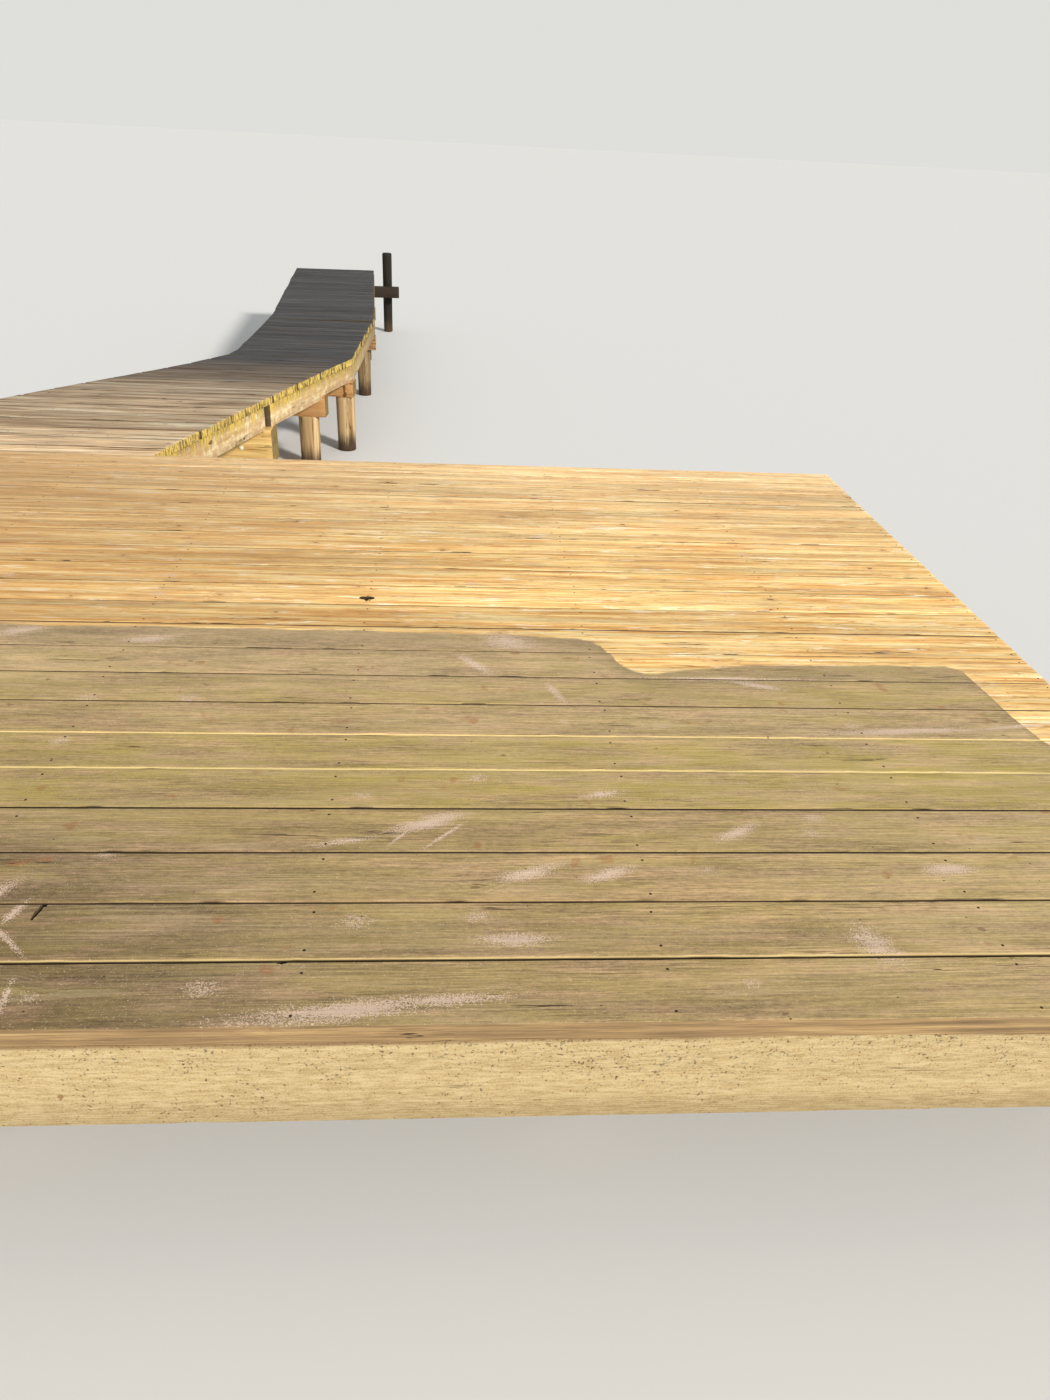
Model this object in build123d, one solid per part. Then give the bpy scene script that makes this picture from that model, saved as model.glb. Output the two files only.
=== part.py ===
from build123d import *
import math
import os

# Waterfront deck with a curved walkway, in millimetres.
# +X runs to the right along the deck boards, +Y from the front edge out along the walkway, +Z up.
# The origin is the middle of the whole footprint, at the feet of the piles.

# Heights
deck_top = 560
walkway_step = 12
mooring_rise = 150

# Deck boards
board_width = 140
board_thickness = 38
board_gap = 3
eased_edge = 3
board_rows = 21
rows_per_group = 3
deck_length = 4877

# Deck framing
joist_thickness = 38
joist_depth = 184
joist_spacing = 610
beam_width = 89
beam_depth = 140
beam_setback = 330
deck_pile_diameter = 140
deck_pile_spacing = 1080
deck_pile_end_room = 200

# Walkway boards
walk_board_width = 140
walk_board_thickness = 38
walk_board_gap = 3
square_rows = 24
turned_rows = 20
wedge_gap = 8

# Walkway framing
stringer_thickness = 38
landing_stringer_depth = 110
stringer_depth = 89
sill_width = 184
sill_depth = 184
cap_width = 120
cap_depth = 89
landing_inner_stringers = 2
inner_stringers = 1
landing_stringer_bearing = 15
sill_stringer_setback = 80
seat_clearance = 0.3

# The curve of the walkway, read at each bent: the middle of its cross timber, measured from the
# middle of the deck's back edge, the turn of that timber in degrees and the walkway's width along it.
landing_middle = (-1186, 0)
landing_width = 1578
sill_middle = (-632, 1112)
sill_turn = 0
sill_walk_width = 1104
cap_2_middle = (-279, 1789)
cap_2_turn = -5
cap_2_walk_width = 790
cap_3_middle = (-114, 2165)
cap_3_turn = -4
cap_3_walk_width = 708
run_start = (-103, 3597)
run_turn = 4.2
run_width = 731
run_bay = 1290

# Piles of the walkway and how far timbers and piles stand past the walkway's edges
timber_overhang = 5
end_cap_overhang = 230
sill_pile_diameter = 120
cap_2_pile_diameter = 120
cap_3_pile_diameter = 115
run_pile_diameter = 100
mooring_pile_diameter = 90
mooring_top_bevel = 8
pile_inset = 86
cap_2_pile_inset = 101
cap_3_pile_inset = 54
mooring_outset = 124

# Levels that follow from the sizes above
board_underside = deck_top - board_thickness
joist_underside = board_underside - joist_depth
beam_underside = joist_underside - beam_depth
walk_top = deck_top - walkway_step
walk_underside = walk_top - walk_board_thickness
landing_stringer_underside = walk_underside - landing_stringer_depth
stringer_underside = walk_underside - stringer_depth

# Plan sizes that follow
board_pitch = board_width + board_gap
deck_depth = board_rows * board_pitch - board_gap
half_length = deck_length / 2
walk_pitch = walk_board_width + walk_board_gap


def block(x_range, y_range, z_range):
    """Square-cut timber between three pairs of limits."""
    size = [high - low for low, high in (x_range, y_range, z_range)]
    middle = [(high + low) / 2 for low, high in (x_range, y_range, z_range)]
    return Pos(*middle) * Box(*size)


def prism(corners, bottom, top):
    """Upright solid over a plan outline."""
    face = make_face(Polyline(*corners, close=True))
    return Pos(0, 0, bottom) * extrude(face, amount=top - bottom, dir=(0, 0, 1))


def ease_top(board, turn):
    """Takes the sharpness off the two long top edges of a board with this turn in degrees."""
    lengthwise = Axis((0, 0, 0), across(turn))
    edges = board.edges().filter_by(lengthwise).group_by(Axis.Z)[-1]
    return chamfer(edges, eased_edge)


def pile(x, y, top, diameter):
    """Round pile from the feet up to a level."""
    return Pos(x, y, top / 2) * Cylinder(diameter / 2, top)


def across(turn):
    """Unit vector to the right along a timber with this turn in degrees."""
    angle = math.radians(turn)
    return Vector(math.cos(angle), math.sin(angle))


def onward(turn):
    """Unit vector out along the walkway, square to a timber with this turn."""
    return across(turn + 90)


def crossing(point, way, other_point, other_way):
    """Plan point where two lines cross."""
    spread = way.X * other_way.Y - way.Y * other_way.X
    gap = other_point - point
    return point + way * ((gap.X * other_way.Y - gap.Y * other_way.X) / spread)


def row_places(spacing, reach):
    """Places on equal centres either side of the middle, no further out than the reach."""
    each_side = int(reach // spacing)
    return [spacing * step for step in range(-each_side, each_side + 1)]


def deck_board_group(first_row):
    """Up to three full-length deck boards, side by side with a drainage gap."""
    boards = []
    for row in range(first_row, min(first_row + rows_per_group, board_rows)):
        front = row * board_pitch - deck_depth
        depth = (front, front + board_width)
        board = block((-half_length, half_length), depth, (board_underside, deck_top))
        boards.append(ease_top(board, 0))
    return boards


def deck_framing():
    """Rim joists at front and back, end joists between them and inner joists on equal centres."""
    levels = (joist_underside, board_underside)
    inside = (joist_thickness - deck_depth, -joist_thickness)
    left_end = (-half_length, joist_thickness - half_length)
    right_end = (half_length - joist_thickness, half_length)
    inner = []
    for x in row_places(joist_spacing, half_length - 2 * joist_thickness):
        inner.append(block((x - joist_thickness / 2, x + joist_thickness / 2), inside, levels))
    return {
        "front_rim_joist": [block((-half_length, half_length), (-deck_depth, inside[0]), levels)],
        "back_rim_joist": [block((-half_length, half_length), (inside[1], 0), levels)],
        "left_end_joist": [block(left_end, inside, levels)],
        "right_end_joist": [block(right_end, inside, levels)],
        "inner_joists": inner,
    }


def deck_supports():
    """Three beams across the joists, each on its row of piles."""
    lines = {
        "front": beam_setback - deck_depth,
        "middle": -deck_depth / 2,
        "back": -beam_setback,
    }
    levels = (beam_underside, joist_underside)
    nodes = {}
    for name, y in lines.items():
        width = (y - beam_width / 2, y + beam_width / 2)
        nodes[f"{name}_beam"] = [block((-half_length, half_length), width, levels)]
    for name, y in lines.items():
        places = row_places(deck_pile_spacing, half_length - deck_pile_end_room)
        nodes[f"{name}_piles"] = [pile(x, y, beam_underside, deck_pile_diameter) for x in places]
    return nodes


class Bent:
    """Cross timber of the walkway on its piles.

    The places of the piles count from the walkway's left edge, outward to the right.
    """

    def __init__(self, middle, turn, walk_width, overhang, piles, diameter,
                 width=cap_width, depth=cap_depth, top=stringer_underside):
        self.middle = Vector(*middle)
        self.turn = turn
        self.walk_width = walk_width
        self.overhang = overhang
        self.pile_places = piles
        self.diameter = diameter
        self.width = width
        self.top = top
        self.bottom = top - depth

    def edge(self, side):
        """Edge of the walkway over the timber, side -1 on the left and 1 on the right."""
        return self.middle + across(self.turn) * (side * self.walk_width / 2)

    def layer(self, near, far, bottom, top):
        """Block as long as the timber, between two offsets from its middle line and two levels."""
        left, right = self.overhang
        length = self.walk_width + left + right
        place = self.middle + across(self.turn) * ((right - left) / 2)
        place += onward(self.turn) * ((near + far) / 2)
        turned = Rot(0, 0, self.turn) * Box(length, far - near, top - bottom)
        return Pos(place.X, place.Y, (top + bottom) / 2) * turned

    def timber(self):
        """The cross timber itself."""
        return self.layer(-self.width / 2, self.width / 2, self.bottom, self.top)

    def piles(self):
        """The round piles under the timber."""
        found = []
        for place in self.pile_places:
            spot = self.edge(-1) + across(self.turn) * place
            found.append(pile(spot.X, spot.Y, self.bottom, self.diameter))
        return found


def run_middle(bays):
    """Middle of a bent this many bays out along the straight run."""
    return Vector(*run_start) + onward(run_turn) * (run_bay * bays)


even_overhang = (timber_overhang, timber_overhang)
sill = Bent(
    sill_middle, sill_turn, sill_walk_width, even_overhang,
    (pile_inset, sill_walk_width / 2, sill_walk_width - pile_inset), sill_pile_diameter,
    width=sill_width, depth=sill_depth, top=landing_stringer_underside,
)
# The second cross timber is the same stock as the others, set on edge.
cap_2 = Bent(
    cap_2_middle, cap_2_turn, cap_2_walk_width, even_overhang,
    (pile_inset, cap_2_walk_width - cap_2_pile_inset), cap_2_pile_diameter,
    width=cap_depth, depth=cap_width,
)
cap_3 = Bent(
    cap_3_middle, cap_3_turn, cap_3_walk_width, even_overhang,
    (pile_inset, cap_3_walk_width - cap_3_pile_inset), cap_3_pile_diameter,
)
cap_4 = Bent(
    run_start, run_turn, run_width, even_overhang,
    (pile_inset, run_width - pile_inset), run_pile_diameter,
)
cap_5 = Bent(
    run_middle(1), run_turn, run_width, even_overhang,
    (pile_inset, run_width - pile_inset), run_pile_diameter,
)
cap_6 = Bent(
    run_middle(2), run_turn, run_width, (timber_overhang, end_cap_overhang),
    (pile_inset,), run_pile_diameter,
)
bents = [sill, cap_2, cap_3, cap_4, cap_5, cap_6]


def landing_edge(side):
    """Edge of the walkway where it meets the deck."""
    return Vector(*landing_middle) + Vector(side * landing_width / 2, 0)


# The square-cut rows end at square_end. The turned rows start past the wedge-shaped gap.
square_end = square_rows * walk_pitch
turned_start = crossing(
    cap_3.edge(-1), cap_4.edge(-1) - cap_3.edge(-1), Vector(0, square_end + wedge_gap), across(0)
)
turned_depth = turned_rows * walk_pitch - walk_board_gap
walk_end = turned_start + onward(run_turn) * turned_depth


def walkway_outline():
    """Plan of the walkway between its two bent edges."""
    sides = []
    for side in (-1, 1):
        points = [landing_edge(side)] + [bent.edge(side) for bent in bents]
        points.append(crossing(points[-1], onward(run_turn), walk_end, across(run_turn)))
        sides.append(points)
    left, right = sides
    return make_face(Polyline(*left, *reversed(right), close=True))


def walkway_boards():
    """Every walkway board, cut flush with both edges, sorted into the bays between bents."""
    outline = walkway_outline()
    strip = Rectangle(2 * deck_length, walk_board_width, align=(Align.CENTER, Align.MIN))
    strips = [(Pos(0, row * walk_pitch + walk_board_gap) * strip, 0) for row in range(square_rows)]
    turned = Pos(turned_start.X, turned_start.Y) * Rot(0, 0, run_turn)
    strips += [(turned * Pos(0, row * walk_pitch) * strip, run_turn) for row in range(turned_rows)]
    bays = [[] for _ in bents]
    for place, turn in strips:
        board = extrude(outline & place, amount=walk_board_thickness, dir=(0, 0, 1))
        board = ease_top(Pos(0, 0, walk_underside) * board, turn)
        passed = sum(bent.middle.Y < board.center().Y for bent in bents)
        bays[min(passed, len(bents) - 1)].append(board)
    return bays


def stringer(start, finish, ends, faces, depth):
    """Plank on edge along a plan line, between two faces left and right, cut to its two ends."""
    way = (finish - start).normalized()
    right = Vector(way.Y, -way.X)
    near, far = ends
    corners = []
    for face, (point, turn) in ((faces[0], near), (faces[1], near), (faces[1], far), (faces[0], far)):
        corners.append(crossing(start + right * face, way, point, across(turn)))
    return prism(corners, walk_underside - depth, walk_underside)


def bay_stringers(starts, finishes, ends, inner_count, depth):
    """Outer stringers flush with both edges and inner ones shared out between them."""
    planks = [
        stringer(starts[0], finishes[0], ends, (0, stringer_thickness), depth),
        stringer(starts[1], finishes[1], ends, (-stringer_thickness, 0), depth),
    ]
    for number in range(1, inner_count + 1):
        share = number / (inner_count + 1)
        start = starts[0] + (starts[1] - starts[0]) * share
        finish = finishes[0] + (finishes[1] - finishes[0]) * share
        half = stringer_thickness / 2
        planks.append(stringer(start, finish, ends, (-half, half), depth))
    return planks


def walkway_stringers():
    """Stringers of the six bays.

    The first stop on the front of the sill and the second start further back on it. The second are
    as deep, so they are notched over the next cap. From there on they meet over the caps' middles.
    """
    edges = [(landing_edge(-1), landing_edge(1))]
    edges += [(bent.edge(-1), bent.edge(1)) for bent in bents]
    sill_front = sill.middle - onward(sill.turn) * (sill.width / 2)
    landing_end = sill_front + onward(sill.turn) * landing_stringer_bearing
    second_start = sill_front + onward(sill.turn) * sill_stringer_setback
    starts = [(Vector(0, 0), 0), (second_start, sill.turn)]
    starts += [(bent.middle, bent.turn) for bent in bents[1:-1]]
    finishes = [(landing_end, sill.turn)]
    finishes += [(bent.middle, bent.turn) for bent in bents[1:-1]]
    finishes.append((walk_end, run_turn))
    bays = []
    for bay, ends in enumerate(zip(starts, finishes)):
        inner_count = landing_inner_stringers if bay == 0 else inner_stringers
        depth = landing_stringer_depth if bay < 2 else stringer_depth
        bays.append(bay_stringers(edges[bay], edges[bay + 1], ends, inner_count, depth))
    near_face = -cap_2.width / 2 - seat_clearance
    notch = cap_2.layer(near_face, cap_2.width / 2, cap_2.bottom, cap_2.top)
    bays[1] = [plank - notch for plank in bays[1]]
    return bays


def mooring_pile():
    """Last right pile, outside the edge behind the end cap, which is bolted to it."""
    radius = mooring_pile_diameter / 2
    spot = cap_6.edge(1) + across(run_turn) * mooring_outset
    spot += onward(run_turn) * (cap_width / 2 + radius + seat_clearance)
    post = pile(spot.X, spot.Y, deck_top + mooring_rise, mooring_pile_diameter)
    return chamfer(post.faces().sort_by(Axis.Z)[-1].edges(), mooring_top_bevel)


def walkway_nodes():
    """Boards, stringers, cross timber and piles of each bay."""
    nodes = {}
    for bay, boards in enumerate(walkway_boards(), start=1):
        nodes[f"walkway_boards_{bay}"] = boards
    for bay, planks in enumerate(walkway_stringers(), start=1):
        nodes[f"walkway_stringers_{bay}"] = planks
    for number, bent in enumerate(bents, start=1):
        name = "landing_sill" if number == 1 else f"cap_{number}"
        nodes[name] = [bent.timber()]
        nodes[f"piles_{number}"] = bent.piles()
    nodes["mooring_pile"] = [mooring_pile()]
    return nodes


def whole_deck():
    """All the nodes, each a list of solids that don't touch."""
    nodes = {}
    for group, first_row in enumerate(range(0, board_rows, rows_per_group), start=1):
        nodes[f"deck_boards_{group}"] = deck_board_group(first_row)
    nodes.update(deck_framing())
    nodes.update(deck_supports())
    nodes.update(walkway_nodes())
    return nodes


os.makedirs("parts", exist_ok=True)
nodes = {name: Compound(children=solids) for name, solids in whole_deck().items()}
limits = Compound(list(nodes.values())).bounding_box()
to_origin = Pos(-limits.center().X, -limits.center().Y, -limits.min.Z)
for name, node in nodes.items():
    export_step(to_origin * node, f"parts/{name}.step")
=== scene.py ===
# Waterfront deck with a curved walkway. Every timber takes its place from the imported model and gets
# its saw marks, grain, nails and wear here. Lengths are in metres, and mm turns real sizes into them.
import math
import random
from functools import partial
from types import SimpleNamespace

import bmesh
import bpy
from mathutils import Matrix, Vector, noise
from mathutils.bvhtree import BVHTree
from mathutils.geometry import convex_hull_2d


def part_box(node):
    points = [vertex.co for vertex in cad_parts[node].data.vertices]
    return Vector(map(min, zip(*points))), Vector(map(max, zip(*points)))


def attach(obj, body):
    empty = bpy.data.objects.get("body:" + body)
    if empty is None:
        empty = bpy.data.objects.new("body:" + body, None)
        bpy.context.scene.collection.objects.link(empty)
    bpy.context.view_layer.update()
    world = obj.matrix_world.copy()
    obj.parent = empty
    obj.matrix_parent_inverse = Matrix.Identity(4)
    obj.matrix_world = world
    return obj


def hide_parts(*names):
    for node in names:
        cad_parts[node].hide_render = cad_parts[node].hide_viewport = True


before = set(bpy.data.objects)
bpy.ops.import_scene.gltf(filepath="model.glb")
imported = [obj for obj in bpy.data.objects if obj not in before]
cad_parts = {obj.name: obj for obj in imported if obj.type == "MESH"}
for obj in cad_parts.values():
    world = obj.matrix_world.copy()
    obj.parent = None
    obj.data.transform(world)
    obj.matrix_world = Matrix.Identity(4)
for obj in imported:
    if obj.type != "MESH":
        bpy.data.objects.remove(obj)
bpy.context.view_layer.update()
mm = 0.001


# Camera. It stands 1.2 m above the boards and 1.1 m before the front edge, turned a little to the
# right and tilted down, so that it looks over the deck and along the walkway.
eye_right_of_middle = 853.5 * mm
eye_before_front = 1106 * mm
eye_above_deck = 1213 * mm
look_down = math.radians(29.59)
turn_left = math.radians(-4.80)
roll = math.radians(3.01)
film_height, focal_length = 36, 25.714


def put(name, data):
    """Puts a new object with this data into the scene."""
    made = bpy.data.objects.new(name, data)
    bpy.context.collection.objects.link(made)
    return made


front_low, front_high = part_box("deck_boards_1")
deck_front = front_low.y
deck_top = front_high.z
eye = Vector((eye_right_of_middle, deck_front - eye_before_front, deck_top + eye_above_deck))
aim = Matrix.Rotation(turn_left, 4, "Z") @ Matrix.Rotation(math.pi / 2 - look_down, 4, "X")
lens = bpy.data.cameras.new("deck_camera")
lens.sensor_fit = "VERTICAL"
lens.sensor_height = film_height
lens.lens = focal_length
camera = put("deck_camera", lens)
camera.matrix_world = Matrix.Translation(eye) @ aim @ Matrix.Rotation(roll, 4, "Z")
bpy.context.scene.camera = camera


# Round piles: peeled, pressure-treated pine, driven upright under the deck's beams and the walkway's
# cross timbers. They taper downwards, have long drying checks, and are dark and damp at the foot.
pile_sides = 28
pile_ring_step = 25 * mm
pile_taper = 0.04
pile_bevel = 3 * mm
pile_hollows = 2 * mm
pile_checks = 3
check_half_width = math.radians(2.2)
check_depth = 7 * mm
pile_ring_width = 5 * mm
foot_height = 110 * mm
damp_fade = 120 * mm
crease = math.radians(50)


def colour(code):
    """Linear RGBA from an sRGB hex code."""
    channels = [int(code[i:i + 2], 16) / 255 for i in (1, 3, 5)]
    return tuple(c / 12.92 if c <= 0.04045 else ((c + 0.055) / 1.055) ** 2.4 for c in channels) + (1,)


def feed(node, values):
    """Gives a node's inputs numbers, hex colours or other nodes' outputs, and From and To both ends."""
    for name, value in dict(values).items():
        if name in ("From", "To"):
            feed(node, {name + " Min": value[0], name + " Max": value[1]})
            continue
        same = [socket for socket in node.inputs if socket.enabled and socket.name == name]
        socket = same[0] if same else node.inputs[name]
        if isinstance(value, bpy.types.NodeSocket):
            node.id_data.links.new(value, socket)
        else:
            socket.default_value = colour(value) if isinstance(value, str) else value


def add_node(tree, kind, values=(), operation=None, out=None, stops=(), **settings):
    """Adds one shader node with its settings, inputs and ramp stops, and returns an output."""
    made = tree.nodes.new("ShaderNode" + kind)
    if operation:
        made.operation = operation
    for setting, value in settings.items():
        setattr(made, setting, value)
    feed(made, values)
    for place, _ in stops[1:-1]:
        made.color_ramp.elements.new(place)
    for stop, (place, code) in zip(made.color_ramp.elements if stops else (), stops):
        stop.position, stop.color = place, colour(code)
    shown = [socket for socket in made.outputs if socket.enabled]
    return made.outputs[out] if out else shown[0] if shown else made


def solids(node):
    """Corner points of each separate solid of a CAD node, from front to back."""
    work = bmesh.new()
    work.from_mesh(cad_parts[node].data)
    bmesh.ops.remove_doubles(work, verts=work.verts, dist=0.01 * mm)
    found, seen = [], set()
    for start in work.verts:
        if start in seen:
            continue
        seen.add(start)
        waiting, corners = [start], []
        while waiting:
            vert = waiting.pop()
            corners.append(vert.co.copy())
            for edge in vert.link_edges:
                other = edge.other_vert(vert)
                if other not in seen:
                    seen.add(other)
                    waiting.append(other)
        found.append(corners)
    work.free()
    return sorted(found, key=lambda corners: round(sum(c.y for c in corners) / len(corners), 4))


class Shape:
    """Points and faces of one piece, gathered timber by timber, with each timber's grain axes and look."""

    def __init__(self):
        self.points, self.faces, self.grain, self.looks = [], [], [], []

    def gather(self, points, count, grain=None, look=None, clockwise=False):
        """Takes in rings of so many points each as one closed skin, with a tone of its own."""
        faces = [
            (ring + i, ring + (i + 1) % count, ring + count + (i + 1) % count, ring + count + i)
            for ring in range(0, len(points) - count, count) for i in range(count)
        ]
        faces += [tuple(reversed(range(count))), tuple(range(len(points) - count, len(points)))]
        if clockwise:
            faces = [face[:1] + face[:0:-1] for face in faces]
        first = len(self.points)
        self.points += points
        self.faces += [tuple(first + corner for corner in face) for face in faces]
        self.grain += grain or [tuple(point) for point in points]
        self.looks += [look or (random.random(), 0, 0)] * len(points)

    def make(self, name, material, slot, *replaced):
        """Puts in the finished piece, with flat cut ends, which may stand for CAD nodes."""
        mesh = bpy.data.meshes.new(name)
        mesh.from_pydata(self.points, [], self.faces)
        for title, values in (("grain", self.grain), ("look", self.looks)):
            layer = mesh.attributes.new(title, "FLOAT_VECTOR", "POINT")
            layer.data.foreach_set("vector", [number for value in values for number in value])
        mesh.polygons.foreach_set("use_smooth", [len(face) == 4 for face in self.faces])
        mesh.set_sharp_from_angle(angle=crease)
        mesh.materials.append(material)
        made = put(name, mesh)
        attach(made, "root")
        if replaced:
            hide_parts(*replaced)


def build(nodes, form, ending, material, slot, **cut):
    """Forms every timber of these CAD nodes in one way, as one piece for each node."""
    for node in nodes:
        piece = Shape()
        for corners in solids(node):
            form(piece, corners, **cut)
        piece.make(node + ending, material, slot, node)


def round_pile(shape, corners, bevel=pile_bevel):
    """Adds one pile round the axis of its CAD cylinder, narrower below, hollowed and checked."""
    low, high = [Vector([choose(c[i] for c in corners) for i in range(3)]) for choose in (min, max)]
    middle, radius = (low + high) / 2, (high.x - low.x) / 2
    start = random.uniform(0, 40)
    turns = [(math.tau * i / pile_sides, 0) for i in range(pile_sides)]
    for _ in range(pile_checks):
        centre = random.uniform(0, math.tau)
        turns = [turn for turn in turns if abs(turn[0] - centre) > 2 * check_half_width]
        turns += [(centre - check_half_width, 0), (centre, 1), (centre + check_half_width, 0)]
    turns.sort()
    steps = max(4, round((high.z - low.z) / pile_ring_step))
    levels = [(low.z, bevel), (low.z + bevel, 0)]
    levels += [(low.z + (high.z - low.z) * i / steps, 0) for i in range(1, steps)]
    levels += [(high.z - bevel, 0), (high.z, bevel)]
    points, grain = [], []
    for z, inset in levels:
        size = radius * (1 - pile_taper * (high.z - z) / (high.z - low.z)) - inset
        for turn, checked in turns:
            way = Vector((math.cos(turn), math.sin(turn), 0))
            hollow = pile_hollows * (0.5 + 0.5 * noise.noise(way * 1.5 + Vector((0, 0, 4 * z + start))))
            open_check = max(0, noise.noise(Vector((turn * 5, start, 2.5 * z))) + 0.25) * check_depth * 2
            place = way * (size - hollow - checked * open_check)
            points.append(Vector((middle.x, middle.y, z)) + place)
            grain.append((start + z, place.x, place.y))
    shape.gather(points, len(turns), grain)


def new_finish(name):
    """A new material, its surface shader, and the function that adds nodes to it."""
    material = bpy.data.materials.new(name)
    material.use_nodes = True
    tree = material.node_tree
    return material, tree.nodes["Principled BSDF"], partial(add_node, tree)


def scattered(add, vector, cell, share, sizes, *fades):
    """Spots in this share of a stretched grid's cells, as a mask for each fade past their rims.

    A spot is half as long again as it is wide, and its radius lies between the two sizes.
    """
    spread = add("VectorMath", {0: vector, 1: (*cell, 1)}, "DIVIDE")
    nearest = add("TexVoronoi", {"Vector": spread, "Scale": 1}, out="Position", voronoi_dimensions="2D")
    offset = add("VectorMath", {0: nearest, 1: spread}, "SUBTRACT")
    offset = add("VectorMath", {0: offset, 1: (cell[0], cell[1] * 1.5, 0)}, "MULTIPLY")
    away = add("VectorMath", {0: offset}, "LENGTH")
    lot = add("SeparateColor", {"Color": nearest.node.outputs["Color"]})
    radius = add("MapRange", {"Value": lot, "From": (1 - share, 1), "To": sizes}, clamp=False)
    chosen = add("Math", {0: lot, 1: 1 - share}, "GREATER_THAN")
    past = add("Math", {0: away, 1: radius}, "SUBTRACT")
    masks = [add("MapRange", {"Value": past, "From": fade}) for fade in fades]
    return [add("Math", {0: mask, 1: chosen}, "MULTIPLY") for mask in masks]


def pine_figure(add, ring_width, knot_share=0.4, knot_size=16 * mm, checked=0.63):
    """Growth rings, fibres, streaks, drying checks and knots of pine along each timber's own axes.

    A noise's scale is the number of its marks in a metre, so 260 draws fibres about 4 mm wide.
    """
    axes = add("Attribute", out="Vector", attribute_name="grain")
    place = add("TexCoord", out="Object")
    parts = add("SeparateXYZ", {0: place}).node.outputs

    # Places drawn out thirty times along the timber, as its fibres are, and six times, as stains are
    fibres = add("VectorMath", {0: axes, 1: (1 / 30, 1, 1)}, "MULTIPLY")
    stains = add("VectorMath", {0: axes, 1: (1 / 6, 1, 1)}, "MULTIPLY")

    # Knots about every 0.4 m of a board, longer than wide, with ragged rims in a swelling of the grain
    ragged = add("TexNoise", {"Vector": axes, "Scale": 90, "Detail": 1}, out="Color")
    ragged = add("VectorMath", {0: ragged, 1: (26 * mm, 8 * mm, 0), 2: axes}, "MULTIPLY_ADD")
    knot, halo = scattered(
        add, ragged, (400 * mm, 110 * mm), knot_share, (3 * mm, knot_size),
        (1.5 * mm, -1.5 * mm), (50 * mm, 0),
    )

    # Rings round the pith, bent by slow waves along the trunk and swollen round the knots
    slow = add("VectorMath", {0: axes, 1: (1.1, 6, 6)}, "MULTIPLY")
    wave = add("TexNoise", {"Vector": slow, "Scale": 1, "Detail": 2}, out="Color")
    wave = add("VectorMath", {0: wave, 1: (0.5, 0.5, 0.5)}, "SUBTRACT")
    bent = add("VectorMath", {0: wave, 1: (0, 40 * mm, 40 * mm), 2: axes}, "MULTIPLY_ADD")
    bent = add("VectorMath", {0: bent, 1: (0, 1, 1)}, "MULTIPLY")
    reach = add("VectorMath", {0: bent}, "LENGTH")
    reach = add("Math", {0: halo, 1: 9 * mm, 2: reach}, "MULTIPLY_ADD")
    count = add("Math", {0: reach, 1: ring_width}, "DIVIDE")
    year = add("Math", {0: count}, "FRACT")
    ring = add("ValToRGB", {"Fac": year})
    for share, shade in ((0.4, 0.1), (0.86, 1), (0.95, 0.9), (1, 0)):
        ring.node.color_ramp.elements.new(share).color = (shade, shade, shade, 1)

    # Fibres about 0.1 m long, and broader streaks of sap and weather
    fibre = add("TexNoise", {"Vector": fibres, "Scale": 260, "Detail": 4, "Roughness": 0.65})
    streak = add("TexNoise", {"Vector": fibres, "Scale": 36, "Detail": 5, "Roughness": 0.65})

    # Drying checks: a few hairlines along the grain, where a noise crosses its middle, in some places only
    crack = add("TexNoise", {"Vector": fibres, "Scale": 110, "Detail": 1})
    crack = add("Math", {0: crack, 1: 0.5}, "SUBTRACT")
    crack = add("Math", {0: crack}, "ABSOLUTE")
    crack = add("MapRange", {"Value": crack, "From": (0.016, 0.008)})
    opened = add("TexNoise", {"Vector": stains, "Scale": 18, "Detail": 1})
    opened = add("MapRange", {"Value": opened, "From": (checked, checked + 0.03)})
    check = add("Math", {0: crack, 1: opened}, "MULTIPLY")
    return SimpleNamespace(
        axes=axes, place=place, y=parts["Y"], z=parts["Z"], fibres=fibres, stains=stains, knot=knot,
        halo=halo, ring=ring, fibre=fibre, streak=streak, check=check,
    )


def finish_wood(add, surface, figure, wood, coats, relief=0.6 * mm):
    """Lays coats over the wood in turn, each a mask and a colour, and gives it its relief.

    Late rings stand up, fibres are open and checks sink in, and the gloss follows the fibres.
    """
    for mask, over in coats:
        wood = add("Mix", {"Factor": mask, "A": wood, "B": over}, data_type="RGBA")
    height = add("Math", {0: figure.ring, 1: 0.5, 2: figure.fibre}, "MULTIPLY_ADD")
    height = add("Math", {0: figure.check, 1: -2.5, 2: height}, "MULTIPLY_ADD")
    bump = add("Bump", {"Height": height, "Distance": relief})
    rough = add("MapRange", {"Value": figure.fibre, "From": (0.3, 0.7), "To": (0.62, 0.9)})
    feed(surface, {"Base Color": wood, "Normal": bump, "Roughness": rough, "Specular IOR Level": 0.3})


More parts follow.
